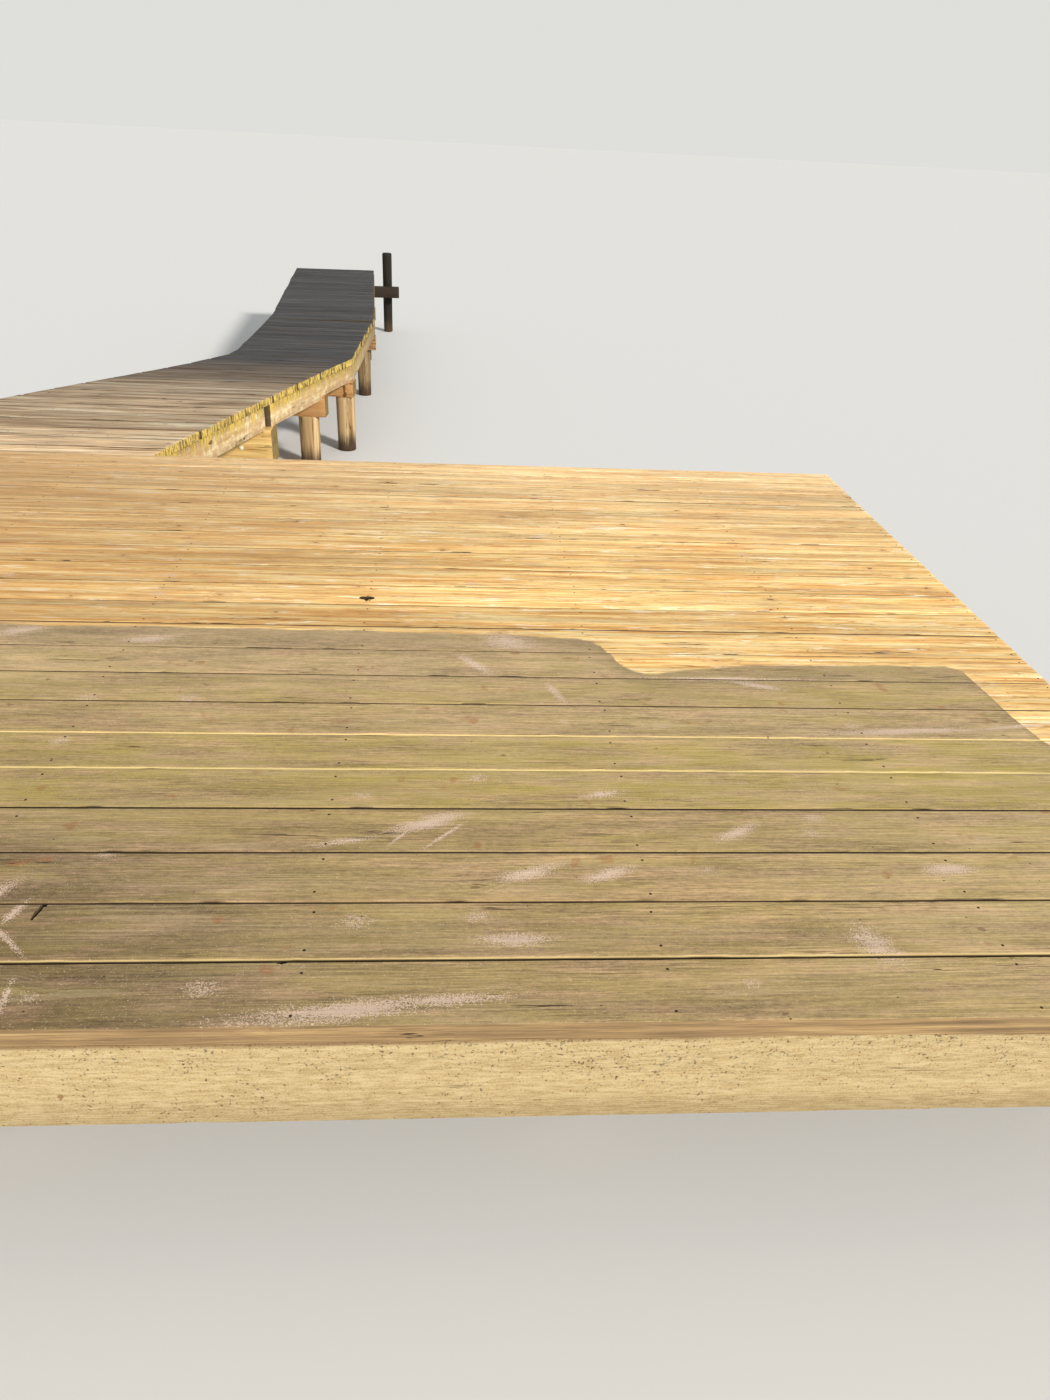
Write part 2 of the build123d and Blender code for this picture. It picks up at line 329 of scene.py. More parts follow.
# Peeled and treated pine: honey tan with long drips, sharp dark checks, a foot that stays wet, and painted
# shade, partly old wet wood, that turns the piles further out almost black
pile_pine, surface, add = new_finish("treated_round_pine")
figure = pine_figure(add, pile_ring_width, knot_share=0.5, checked=0.5)
tan = add("ValToRGB", {"Fac": figure.streak}, stops=((0.3, "#8f6c42"), (0.72, "#e8cb97")))
late = add("Math", {0: figure.ring, 1: 0.25}, "MULTIPLY")
# Painted shade, partly old wet wood: the piles further out are drawn almost black
shade_further_out = add("MapRange", {"Value": figure.y, "From": (1, 3.2), "To": (0, 0.98)})
darker_zone = add("Math", {0: figure.streak, 1: 0.16, 2: figure.z}, "MULTIPLY_ADD")
darker_zone = add("MapRange", {
    "Value": darker_zone, "From": (foot_height + damp_fade, foot_height),
}, interpolation_type="SMOOTHSTEP")
finish_wood(add, surface, figure, tan, (
    (late, "#8a6238"), (figure.knot, "#6b4526"), (shade_further_out, "#15120f"), (darker_zone, "#4b3926"),
    (figure.check, "#3a2a1b"),
))

random.seed(7)
pile_nodes = ["front_piles", "middle_piles", "back_piles"] + [f"piles_{bent}" for bent in range(1, 7)]
build(pile_nodes, round_pile, "_checked", pile_pine, "pile")


# Deck beams: three sawn and treated pine timbers on the pile heads, each across the whole deck. They
# are rough from the saw, greyed at the ends, and boxed round the heart, so rings show at the ends.
saw_step = 40 * mm
sawn_ease = 3 * mm
beam_ring_width = 5 * mm
foot_ease = 1 * mm
end_ease = 1.5 * mm
hair = 0.01 * mm
chip_across, chip_down = 8 * mm, 6 * mm
pit_rows = 5
pit_lip, pit_wall = 1.25, 0.35


def rounded_section(width, depth, ease, tops):
    """Points round a timber's section, clockwise from the left, as places across and up."""
    half = width / 2 - ease
    arc = [math.radians(30 * i) for i in range(4)]
    left = [(-half - ease * math.cos(a), depth - ease + ease * math.sin(a)) for a in arc]
    top = [(v, depth) for v in sorted(tops) if abs(v) < half - 0.5 * mm]
    right = [(-v, z) for v, z in reversed(left)]
    sides = [(width / 2, depth / 2), (width / 2, foot_ease), (width / 2 - foot_ease, 0)]
    return left + top + right + sides + [(0, 0)] + [(-v, z) for v, z in reversed(sides)]


def plan_of(corners):
    """A timber's outline and sides in plan, and the direction of its longest side."""
    outline = [corners[i].xy for i in convex_hull_2d([corner.xy for corner in corners])]
    sides = list(zip(outline, outline[1:] + outline[:1]))
    start, end = max(sides, key=lambda side: (side[1] - side[0]).length)
    return outline, sides, (end - start).normalized()


def sawn_timber(shape, corners, step=saw_step, ease=sawn_ease, strips=4, look=None, boxed=False,
                crown=0.0, trim=(0.0, 0.0), short=(0.0, 0.0), uneven=0.5 * mm, pits=()):
    """Adds one sawn timber. Its CAD corners give its bevelled ends, its sizes and its end notch.

    Here u runs along the timber, v across it and z up. Trim narrows its edges and short its ends, a
    crown above 0 lowers its edges and one below 0 its middle, and pits are holes sunk in its top. A
    pit's lip and wall are shares of its half sizes, and rows of points lie a fifth of those apart.
    """
    outline, sides, along = plan_of(corners)
    along = -along if along.x + 0.5 * along.y < 0 else along
    across = Vector((-along.y, along.x))
    near, far = [choose(p.dot(across) for p in outline) for choose in (min, max)]
    first, last = near + trim[0], far - trim[1]
    base, depth = min(c.z for c in corners), max(c.z for c in corners) - min(c.z for c in corners)
    width, centre = last - first, (first + last) / 2
    seed = Vector([random.uniform(0, 50) for _ in range(3)])
    pith_out, pith_side = random.choice((-1, 1)) * random.uniform(45, 100) * mm, random.uniform(-50, 50) * mm
    if boxed:
        pith_out, pith_side = random.uniform(-15, 15) * mm, random.uniform(-20, 20) * mm

    def ends(v):
        met = []
        line = min(max(centre + v, near + hair), far - hair)
        for a, b in sides:
            before, after = a.dot(across) - line, b.dot(across) - line
            if before * after <= 0 and before != after:
                met.append((a + (b - a) * (before / (before - after))).dot(along))
        return min(met) + short[0], max(met) - short[1]

    # Rows of points along the timber, closer together at a pit and doubled where an end notch starts
    seats = [c for c in corners if base + 1 * mm < c.z < base + depth / 2]
    notch_rise = max((c.z - base for c in seats), default=0)
    notch_length = max((ends(c.xy.dot(across) - centre)[1] - c.xy.dot(along) for c in seats), default=0)
    tops = {round(width * (i / strips - 0.5), 5) for i in range(1, strips)}
    tops |= {round(pit[1] - centre + i * pit[3] / pit_rows, 5) for pit in pits for i in range(-6, 7)}
    section = rounded_section(width, depth, ease, tops)
    longest = ends(0)[1] - ends(0)[0]
    rows = max(4, round(longest / step))
    shares = {i / rows for i in range(1, rows)}
    shares |= {(pit[0] - ends(0)[0] + i * pit[2] / pit_rows) / longest for pit in pits for i in range(-8, 9)}
    notched = 1 - notch_length / longest
    shares |= {notched, notched + hair / longest} if seats else set()
    arris = end_ease / longest
    shares = [0, arris] + sorted(share for share in shares if arris < share < 1 - arris) + [1 - arris, 1]
    points, grain = [], []
    for share in shares:
        shrink = 1 - end_ease / min(width, depth) if share in (0, 1) else 1
        for v, z in section:
            v, rise = v * shrink, (z - depth / 2) * shrink + depth / 2
            rise = max(rise, notch_rise) if share > notched else rise
            from_end, to_end = ends(v)
            u = from_end + (to_end - from_end) * share
            if z > depth / 2:
                rise -= uneven * (0.5 + 0.5 * noise.noise(seed + Vector((3 * u, 9 * v, 0))))
                rise -= abs(crown) * ((2 * v / width) ** 2 if crown > 0 else 1 - (2 * v / width) ** 2)
            if abs(v) > width / 2 - ease:
                chip = max(0, noise.noise(seed + Vector((14 * u, v * 3, z * 9))) - 0.35)
                v -= math.copysign(uneven * (0.5 + 0.5 * noise.noise(seed + Vector((4 * u, v, 0)))), v)
                v -= math.copysign(min(ease, chip_across * chip), v)
                rise -= min(ease, chip_down * chip) if z > depth / 2 else 0
            for pit_u, pit_v, half_long, half_wide, lean, sunk in pits:
                far_u, far_v = u - pit_u, centre + v - pit_v
                far_u -= lean * far_v
                inside = pit_lip - math.hypot(far_u / half_long, far_v / half_wide)
                if z > depth / 2 and inside > 0:
                    rise -= sunk * min(1, inside / pit_wall)
            spot = along * u + across * (centre + v)
            points.append(Vector((spot.x, spot.y, base + rise)))
            wide, out = (v, rise - depth / 2) if width > depth else (rise - depth / 2, v)
            grain.append((u + seed.x, wide - pith_side, out - pith_out))
    shape.gather(points, len(section), grain, look, clockwise=True)


# Sawn pine, greyed by damp: dull tan with soft grey streaks and darker late rings
beam_pine, surface, add = new_finish("sawn_beam_pine")
figure = pine_figure(add, beam_ring_width)
wood = add("ValToRGB", {"Fac": figure.streak}, stops=((0.3, "#7d6544"), (0.7, "#c4a678")))
late = add("Math", {0: figure.ring, 1: 0.35}, "MULTIPLY")
finish_wood(add, surface, figure, wood, (
    (late, "#6f5231"), (figure.knot, "#5d4024"), (figure.check, "#352719"),
))

build(("front_beam", "middle_beam", "back_beam"), sawn_timber, "_sawn", beam_pine, "beam", boxed=True)


# Joists and rim joists: 38 mm sawn pine on edge on the beams, the rims nailed round the frame's four
# sides. The rims stand in the weather: pale, washed yellow, with dark mildew specks along their top.
joist_ring_width = 4 * mm
mildew_low, mildew_high = 400 * mm, 520 * mm

# Pale sawn pine: washed yellow with a 3 mm grit of raised fibres, specks 5 mm apart, and a brown band under
# the boards, partly stain and partly painted shadow
joist_pine, surface, add = new_finish("pale_joist_pine")
figure = pine_figure(add, joist_ring_width, knot_share=0.12, knot_size=9 * mm, checked=0.72)
wood = add("ValToRGB", {"Fac": figure.streak}, stops=((0.3, "#b39867"), (0.7, "#cdb27f")))
late = add("Math", {0: figure.ring, 1: 0.15}, "MULTIPLY")
wood = add("Mix", {"Factor": late, "A": wood, "B": "#a3824f"}, data_type="RGBA")
grit = add("TexNoise", {"Vector": figure.place, "Scale": 320, "Detail": 2})
grit = add("MapRange", {"Value": grit, "From": (0.3, 0.7), "To": (0.72, 1.12)})
wood = add("VectorMath", {0: wood, "Scale": grit}, "SCALE")
speck = add("TexNoise", {"Vector": figure.place, "Scale": 190, "Detail": 2})
patches = add("TexNoise", {"Vector": figure.place, "Scale": 12, "Detail": 3})
growth = add("MapRange", {"Value": figure.z, "From": (mildew_low, mildew_high), "To": (-0.06, 0)})
growth = add("Math", {0: patches, 1: 0.3, 2: growth}, "MULTIPLY_ADD")
speck = add("Math", {0: speck, 1: growth})
speck = add("MapRange", {"Value": speck, "From": (0.75, 0.78), "To": (0, 0.85)})
pale = add("TexNoise", {"Vector": figure.stains, "Scale": 150, "Detail": 5, "Roughness": 0.75})
pale = add("MapRange", {"Value": pale, "From": (0.42, 0.6), "To": (0, 0.6)})
# Painted shadow, partly stain: a brown band along the top, right under the boards
shadow_and_stain_under_boards = add("Math", {0: figure.streak, 1: 0.03, 2: figure.z}, "MULTIPLY_ADD")
shadow_and_stain_under_boards = add("MapRange", {
    "Value": shadow_and_stain_under_boards, "From": (mildew_high + 11 * mm, mildew_high + 16 * mm), "To": (0, 0.8),
})
# Darker towards the bottom with damp
darker_zone = add("Math", {0: patches, 1: 0.12, 2: figure.z}, "MULTIPLY_ADD")
darker_zone = add("MapRange", {"Value": darker_zone, "From": (0.45, 0.38), "To": (0, 0.4)})
finish_wood(add, surface, figure, wood, (
    (speck, "#4a3a26"), (pale, "#dcc697"), (shadow_and_stain_under_boards, "#7d5f3d"), (darker_zone, "#a08457"),
    (figure.knot, "#9b7a4e"), (figure.check, "#6b5233"),
))

random.seed(14)
joist_nodes = ("front_rim_joist", "back_rim_joist", "left_end_joist", "right_end_joist", "inner_joists")
build(joist_nodes, sawn_timber, "_sawn", joist_pine, "joist")


# Deck boards: 21 rows of 140 mm wide planed pine, full length, nailed flat across the joists. The rows
# near the front are grey-brown with age and green with algae; the rest were washed back to bright wood.
board_step = 16 * mm
board_ease = 2.5 * mm
board_strips = 12
board_ring_width = 4 * mm
row_pitch = 143 * mm
half_depth = 1500 * mm
aged_rows = 10

# Row by row from the front: mm added to the gap behind, how green the row is, and how bright its gap edges
# are drawn, partly for rinsed wood and dirt and partly as a painted highlight and painted shade
gap_widening = {1: 4, 2: 1, 3: 0.5, 4: 1, 5: 2, 6: 2, 7: 0.5, 10: 0.5}
row_green = [0.25, 0.3, 0.25, 0.4, 1, 0.9, 0.3, 0.6, 0.35, 0.15]
gap_edge_brightness = [0.4, 0.95, 0.2, 0, -0.1, 1.15, 1.05, 0, -0.1, 0.1]
washed_gap_edge_brightness = 0.1

# Holes: mm right of the middle and behind the front edge, half length and half width, lean, and mm deep
knothole = (600, 1620, 17, 10, 0, 28)
slot_scar = (143, 270, 2.6, 24, 0.2, 20)
edge_nick = (577, 141, 9, 6, 0, 9)

# The washed area's front edge, and scuffs with their half length, half width and turn in degrees
washed_edge = [(-2438, 1412), (-364, 1410), (165, 1404), (791, 1396), (1100, 1384), (1212, 1366),
               (1262, 1330), (1292, 1226), (1346, 1168), (1520, 1206), (1690, 1222), (1990, 1232),
               (2200, 1236), (2240, 1190), (2250, 900), (2290, 806), (2438, 770)]
scuffs = [(1005, 1345, 70, 40, -10), (684, 29, 142, 20, 6), (838, 50, 100, 12, 3), (970, 187, 60, 14, 0),
          (812, 523, 78, 20, 22), (757, 480, 42, 4, 54), (843, 482, 57, 4, 47), (655, 463, 60, 10, 12),
          (1005, 366, 62, 16, 20), (1150, 360, 50, 14, 23), (123, 188, 42, 6, -45), (161, 70, 32, 7, 95),
          (102, 262, 30, 8, 70), (1433, 492, 50, 16, 30), (1826, 376, 50, 16, 0), (1172, 624, 40, 12, 10),
          (1600, 170, 50, 30, -60), (1570, 1146, 166, 11, 0), (1640, 1110, 72, 11, -19),
          (1960, 893, 190, 12, 4), (40, 300, 50, 14, 50), (2230, 918, 100, 9, 8),
          (905, 1213, 62, 16, -51), (1110, 1063, 42, 11, -69), (-288, 1368, 60, 22, 20),
          (60, 1330, 60, 18, 10)]

board_pine, surface, add = new_finish("weathered_and_washed_pine")
figure = pine_figure(add, board_ring_width, knot_share=0.25, knot_size=8 * mm, checked=0.68)
plan = add("VectorMath", {0: figure.place, 1: (0, deck_front, 0)}, "SUBTRACT")
from_middle = add("SeparateXYZ", {0: plan})
from_front = from_middle.node.outputs["Y"]
look = add("Attribute", out="Vector", attribute_name="look")
board_tone = add("SeparateXYZ", {0: look})
green_share, edge_bright_share = board_tone.node.outputs["Y"], board_tone.node.outputs["Z"]
cloud = add("TexNoise", {"Vector": figure.stains, "Scale": 14, "Detail": 4})
patch = add("TexNoise", {"Vector": figure.stains, "Scale": 30, "Detail": 5, "Roughness": 0.65})
mottle = add("VectorMath", {0: figure.axes, 1: (0.35, 1, 1)}, "MULTIPLY")
mottle = add("TexNoise", {"Vector": mottle, "Scale": 170, "Detail": 4, "Roughness": 0.8})

# Aged surface: khaki brown, darkest towards the front on the left, with a 6 mm weathered mottle
darker_zone = add("VectorMath", {0: plan, 1: (0.55, 0, 0)})
darker_zone = add("VectorMath", {0: darker_zone, 1: (0, 0, 0)}, "MAXIMUM")
darker_zone = add("VectorMath", {0: darker_zone, 1: (0.3, 0.6, 0)}, "MULTIPLY")
darker_zone = add("VectorMath", {0: darker_zone}, "LENGTH")
aged = add("ValToRGB", {"Fac": darker_zone}, stops=(
    (0.12, "#65503a"), (0.21, "#715b41"), (0.33, "#9b8260"), (0.45, "#b09469"), (0.58, "#bb9d70"),
    (0.8, "#c9ab81"),
))
for limits, share, over in (((0.46, 0.62), 0.3, "#9c8650"), ((0.5, 0.4), 0.35, "#c7a07c")):
    cast = add("MapRange", {"Value": patch, "From": limits, "To": (0, share)})
    aged = add("Mix", {"Factor": cast, "A": aged, "B": over}, data_type="RGBA")
tone = 0
for pattern, share in ((cloud, 0.45), (figure.streak, 0.25), (mottle, 0.6), (figure.fibre, 0.3)):
    tone = add("Math", {0: pattern, 1: share, 2: tone}, "MULTIPLY_ADD")
tone = add("MapRange", {"Value": tone, "From": (0.64, 0.96), "To": (0.57, 1.4)}, clamp=False)
aged = add("VectorMath", {0: aged, "Scale": tone}, "SCALE")

# Yellow-green algae in thin broken patches, most of all on the fifth and sixth rows
moss = add("Math", {0: cloud, 1: 0.8, 2: patch}, "MULTIPLY_ADD")
moss = add("Math", {0: mottle, 1: 0.4, 2: moss}, "MULTIPLY_ADD")
moss = add("MapRange", {"Value": moss, "From": (0.95, 1.3), "To": (0.12, 0.62)})
sunny = add("MapRange", {"Value": from_middle, "From": (0.6, 1.9), "To": (0, 0.3)})
greener = add("Math", {0: green_share, 1: sunny})
moss = add("Math", {0: moss, 1: greener}, "MULTIPLY")

# Dark grain lines 3 mm apart in places, pale late wood in others, dull red stains, pale flecks and pits
lines = add("TexNoise", {"Vector": figure.fibres, "Scale": 330, "Detail": 3, "Roughness": 0.6})
lines = add("MapRange", {"Value": lines, "From": (0.55, 0.6)})
some = add("TexNoise", {"Vector": figure.stains, "Scale": 17, "Detail": 2})
dark_lines = add("MapRange", {"Value": some, "From": (0.4, 0.62), "To": (0, 0.6)})
dark_lines = add("Math", {0: lines, 1: dark_lines}, "MULTIPLY")
pale_lines = add("MapRange", {"Value": some, "From": (0.5, 0.38), "To": (0, 0.3)})
pale_lines = add("Math", {0: pale_lines, 1: figure.ring}, "MULTIPLY")
stain = add("TexNoise", {"Vector": plan, "Scale": 19, "Detail": 2})
stain = add("MapRange", {"Value": stain, "From": (0.68, 0.76), "To": (0, 0.5)})
core = add("Math", {0: figure.knot, 1: 0.6}, "MULTIPLY")
fleck, = scattered(add, plan, (34 * mm, 17 * mm), 0.14, (0.2 * mm, 1.8 * mm), (0.4 * mm, -0.4 * mm))
fleck = add("Math", {0: fleck, 1: patch}, "MULTIPLY")
pit, = scattered(add, plan, (100 * mm, 46 * mm), 0.2, (0.5 * mm, 2.2 * mm), (0.5 * mm, -0.5 * mm))
for mask, over in ((moss, "#b39f4a"), (dark_lines, "#6c583b"), (pale_lines, "#cdb78b"),
                   (stain, "#a06b3e"), (core, "#77583a"), (fleck, "#ead8b0")):
    aged = add("Mix", {"Factor": mask, "A": aged, "B": over}, data_type="RGBA")

# Washed surface: golden early wood between orange late wood, in fine long lines, duller to the left
band = add("TexNoise", {"Vector": figure.fibres, "Scale": 62, "Detail": 6, "Roughness": 0.72})
washed = add("ValToRGB", {"Fac": band}, stops=(
    (0.28, "#b97c3e"), (0.4, "#dfa65e"), (0.48, "#f5c97f"), (0.57, "#ffe19c"), (0.74, "#fff0cc"),
))
orange = add("MapRange", {"Value": cloud, "From": (0.5, 0.64), "To": (0, 0.35)})
grey = add("MapRange", {"Value": patch, "From": (0.45, 0.34), "To": (0, 0.65)})
late = add("MapRange", {"Value": some, "From": (0.4, 0.6), "To": (0.05, 0.4)})
late = add("Math", {0: late, 1: figure.ring}, "MULTIPLY")
bleached = add("MapRange", {"Value": from_front, "From": (1.9, 2.9), "To": (0, 0.35)})
washed_coats = [(orange, "#e4a45a"), (grey, "#cfa678"), (late, "#d69c58"), (bleached, "#f2d6ae")]
for scale, middle, over in ((60, 0.48, "#a96e35"), (115, 0.53, "#9a6432")):
    hairline = add("TexNoise", {"Vector": figure.fibres, "Scale": scale, "Detail": 2})
    hairline = add("Math", {0: hairline, 1: middle}, "SUBTRACT")
    hairline = add("Math", {0: hairline}, "ABSOLUTE")
    hairline = add("MapRange", {"Value": hairline, "From": (0.013, 0.005), "To": (0, 1.3)})
    hairline = add("Math", {0: hairline, 1: patch}, "MULTIPLY", use_clamp=True)
    washed_coats.append((hairline, over))

# Splintered ivory sapwood in ragged strips where the washing tore the grain
torn = add("TexNoise", {"Vector": figure.stains, "Scale": 34, "Detail": 5, "Roughness": 0.7})
torn = add("Math", {0: figure.fibre, 1: 0.5, 2: torn}, "MULTIPLY_ADD")
torn = add("MapRange", {"Value": torn, "From": (0.86, 0.9), "To": (0, 0.85)})
round_knot = add("Math", {0: figure.halo, 1: 3}, "POWER")
round_knot = add("Math", {0: round_knot, 1: 0.6}, "MULTIPLY")
washed_coats += [(torn, "#ffedc9"), (round_knot, "#b98a55"), (figure.knot, "#8c6138")]
for mask, over in washed_coats:
    washed = add("Mix", {"Factor": mask, "A": washed, "B": over}, data_type="RGBA")
shade = add("MapRange", {"Value": from_middle, "From": (-0.8, 1.3), "To": (0.62, 1)})
strips = add("TexNoise", {"Vector": figure.fibres, "Scale": 25, "Detail": 3})
strips = add("MapRange", {"Value": strips, "From": (0.36, 0.64), "To": (-0.12, 0.28)})
shade = add("Math", {0: shade, 1: strips})
shade = add("Math", {0: board_tone, 1: 0.18, 2: shade}, "MULTIPLY_ADD")
washed = add("VectorMath", {0: washed, "Scale": shade}, "SCALE")
warmer = add("MapRange", {"Value": from_middle, "From": (1, -0.6), "To": (0, 0.3)})
washed = add("Mix", {"Factor": warmer, "A": washed, "B": "#d79e5f"}, data_type="RGBA")

# The line where the washing stopped, wandering from row to row, with the grey run together beside it
half_length = -washed_edge[0][0]
edge_reach = 2000
across_deck = add("MapRange", {"Value": from_middle, "From": (-half_length * mm, half_length * mm)})
edge = add("FloatCurve", {"Value": across_deck})
curve = edge.node.mapping.curves[0]
turning = [(0.5 + x / (2 * half_length), y / edge_reach) for x, y in washed_edge]
curve.points[0].location, curve.points[1].location = turning[0], turning[-1]
for x, y in turning[1:-1]:
    curve.points.new(x, y)
for point in curve.points:
    point.handle_type = "VECTOR"
edge.node.mapping.update()
wander = add("Math", {0: patch, 1: 0.06, 2: from_front}, "MULTIPLY_ADD")
past_edge = add("Math", {0: edge, 1: -edge_reach * mm, 2: wander}, "MULTIPLY_ADD")
beside = add("MapRange", {"Value": past_edge, "From": (-110 * mm, -10 * mm), "To": (0, 0.3)})
aged = add("Mix", {"Factor": beside, "A": aged, "B": "#7f6f51"}, data_type="RGBA")
is_washed = add("MapRange", {"Value": past_edge, "From": (22 * mm, 32 * mm)})
wood = add("Mix", {"Factor": is_washed, "A": aged, "B": washed}, data_type="RGBA")

# Scuffs where something was dragged and took the grey off the raised grain, and torn grain round knots
beyond_scuffs = 4
nearest = beyond_scuffs
for x, y, half_long, half_wide, turn in scuffs:
    spot = add("Mapping", {
        "Vector": plan, "Location": (x * mm, y * mm, 0), "Rotation": (0, 0, math.radians(turn)),
        "Scale": (half_long * mm, half_wide * mm, 10),
    }, vector_type="TEXTURE")
    spot = add("VectorMath", {0: spot, 1: (1, 1, 0)}, "MULTIPLY")
    spot = add("VectorMath", {0: spot}, "LENGTH")
    nearest = add("Math", {0: spot, 1: nearest}, "MINIMUM")
ragged = add("Math", {0: patch, 1: 0.3, 2: -0.2}, "MULTIPLY_ADD")
flakes = add("TexNoise", {"Vector": figure.axes, "Scale": 430, "Detail": 2})
scuffed = add("Math", {0: nearest, 1: 0.2, 2: ragged}, "MULTIPLY_ADD")
scuffed = add("Math", {0: flakes, 1: scuffed}, "SUBTRACT")
scuffed = add("MapRange", {"Value": scuffed, "From": (0.39, 0.43), "To": (0, 0.9)})
torn_knot, = scattered(add, plan, (230 * mm, 100 * mm), 0.15, (2 * mm, 16 * mm), (26 * mm, -4 * mm))
torn_knot = add("Math", {0: torn_knot, 1: 0.18, 2: flakes}, "MULTIPLY_ADD")
torn_knot = add("MapRange", {"Value": torn_knot, "From": (0.66, 0.69), "To": (0, 0.75)})
scuffed = add("Math", {0: scuffed, 1: torn_knot}, "MAXIMUM")

# The edges at a gap are fresh and yellow in some rows and brown in others, partly for rinsed wood and caught
# dirt and partly as a painted highlight and painted shade
edge_patches = add("TexNoise", {"Vector": figure.fibres, "Scale": 60, "Detail": 5, "Roughness": 0.7})
rinsed_and_lit = add("Math", {0: edge_patches, 1: 1.6, 2: edge_bright_share}, "MULTIPLY_ADD")
rinsed_and_lit = add("MapRange", {"Value": rinsed_and_lit, "From": (0.8, 1.8)})
seam = add("ValToRGB", {"Fac": rinsed_and_lit}, stops=((0, "#3b2d1f"), (0.5, "#b18f62"), (1, "#f2d894")))
normal = add("NewGeometry", out="Normal")
faces_up = add("SeparateXYZ", {0: normal}, out="Z")
side = add("MapRange", {"Value": faces_up, "From": (0.75, 0.45), "To": (0, 0.9)})
for mask, over in ((scuffed, "#e2c5ac"), (side, seam)):
    wood = add("Mix", {"Factor": mask, "A": wood, "B": over}, data_type="RGBA")

# Every board has its own depth of colour, and the fibres give it a fine tooth
fine = add("MapRange", {"Value": figure.fibre, "From": (0.3, 0.7), "To": (0.84, 1.16)})
board_tone = add("MapRange", {"Value": board_tone, "To": (0.95, 1.06)})
for scale in (fine, board_tone):
    wood = add("VectorMath", {0: wood, "Scale": scale}, "SCALE")

# Painted shade, partly packed dirt: from 1 to 3 mm down a gap the edges turn nearly black, and so do the
# bottoms of holes and those hole walls that face along the board, where end grain shows
sunk = add("Math", {0: edge_bright_share, 1: 2.5 * mm, 2: figure.z}, "MULTIPLY_ADD")
sunk = add("MapRange", {
    "Value": sunk, "From": (deck_top - 1.2 * mm, deck_top - 3 * mm), "To": (0, 0.92),
})
hole_wall_shade = add("Math", {0: faces_up.node.outputs["X"]}, "ABSOLUTE")
hole_wall_shade = add("MapRange", {"Value": hole_wall_shade, "From": (0.25, 0.5), "To": (0, 0.92)})
sunk = add("Math", {0: sunk, 1: hole_wall_shade}, "MAXIMUM")
centred = add("VectorMath", {0: plan, 1: (0, half_depth, 0)}, "SUBTRACT")
centred = add("VectorMath", {0: centred}, "ABSOLUTE")
inside = add("SeparateXYZ", {0: centred}).node.outputs
for axis, reach in (("Y", half_depth - 6 * mm), ("X", (half_length - 4) * mm)):
    kept = add("Math", {0: inside[axis], 1: reach}, "LESS_THAN")
    sunk = add("Math", {0: sunk, 1: kept}, "MULTIPLY")
finish_wood(add, surface, figure, wood, ((pit, "#453422"), (sunk, "#2c1b0e"), (figure.check, "#54402b")))

random.seed(21)
row = 0
deck_surfaces = []
for group in range(1, 8):
    boards = Shape()
    for corners in solids(f"deck_boards_{group}"):
        row += 1
        aged_row = row <= aged_rows
        front_gap, back_gap = gap_widening.get(row - 1, 0) / 2, gap_widening.get(row, 0) / 2
        pits = [
            (x * mm, deck_front + y * mm, half_long * mm, half_wide * mm, lean, deep * mm)
            for x, y, half_long, half_wide, lean, deep in (knothole, slot_scar, edge_nick)
            if int(y * mm / row_pitch) + 1 == row
        ]
        sawn_timber(
            boards, corners, step=board_step, ease=board_ease, strips=board_strips,
            look=(random.random(), row_green[row - 1] if aged_row else 0,
                  gap_edge_brightness[row - 1] if aged_row else washed_gap_edge_brightness),
            crown=random.uniform(-0.8, 0.8) * mm, trim=(front_gap * mm, back_gap * mm),
            uneven=0.6 * mm, pits=pits,
        )
    deck_surfaces.append(BVHTree.FromPolygons(boards.points, boards.faces))
    boards.make(f"deck_boards_{group}_planed", board_pine, "deck_board", f"deck_boards_{group}")


# Deck nails: rusted steel nails, two in every board at each joist, driven until the heads are flush.
# Each head is a low dome, half a millimetre high.
nail_radius = 3.1 * mm
nail_sides = 9
nail_inset = 24 * mm
nail_wander = 5 * mm
nail_rings = (
    (nail_radius, -1.5 * mm), (nail_radius, -0.1 * mm), (0.75 * nail_radius, 0.3 * mm),
    (0.3 * nail_radius, 0.45 * mm),
)
above = 1
down = Vector((0, 0, -1))


def round_head(shape, spot, aside, upward, rings, sides):
    """Adds one round head at a spot, from rings of radius and rise that lie in two directions."""
    out = aside.cross(upward)
    points = []
    for radius, rise in rings:
        for turn in [math.tau * i / sides for i in range(sides)]:
            points.append(spot + out * rise + (aside * math.cos(turn) + upward * math.sin(turn)) * radius)
    shape.gather(points, sides)


def nail(shape, wood, x, y):
    """Adds one nail head on the wood under it, if there is wood."""
    found = wood.ray_cast(Vector((x, y, above)), down)[0]
    if found:
        round_head(shape, found, Vector((1, 0, 0)), Vector((0, 1, 0)), nail_rings, nail_sides)


# Rusted steel: almost black brown, dull, with orange where the rust is fresh, in spots of 3 mm
nail_steel, surface, add = new_finish("rusted_nail_steel")
place = add("TexCoord", out="Object")
rust = add("TexNoise", {"Vector": place, "Scale": 300, "Detail": 3})
rust = add("ValToRGB", {"Fac": rust}, stops=((0.4, "#1e1611"), (0.75, "#56351f")))
feed(surface, {"Base Color": rust, "Metallic": 0.2, "Roughness": 0.8})

joist_lines = [
    sum(c.x for c in corners) / len(corners)
    for node in ("left_end_joist", "inner_joists", "right_end_joist") for corners in solids(node)
]
random.seed(33)
nails = Shape()
for group, laid in enumerate(deck_surfaces, start=1):
    for corners in solids(f"deck_boards_{group}"):
        low_y, high_y = min(c.y for c in corners), max(c.y for c in corners)
        for x in joist_lines:
            for y in (low_y + nail_inset, high_y - nail_inset):
                wander_x, wander_y = [random.uniform(-nail_wander, nail_wander) for _ in range(2)]
                nail(nails, laid, x + wander_x, y + wander_y)
nails.make("deck_nails", nail_steel, "deck_board")


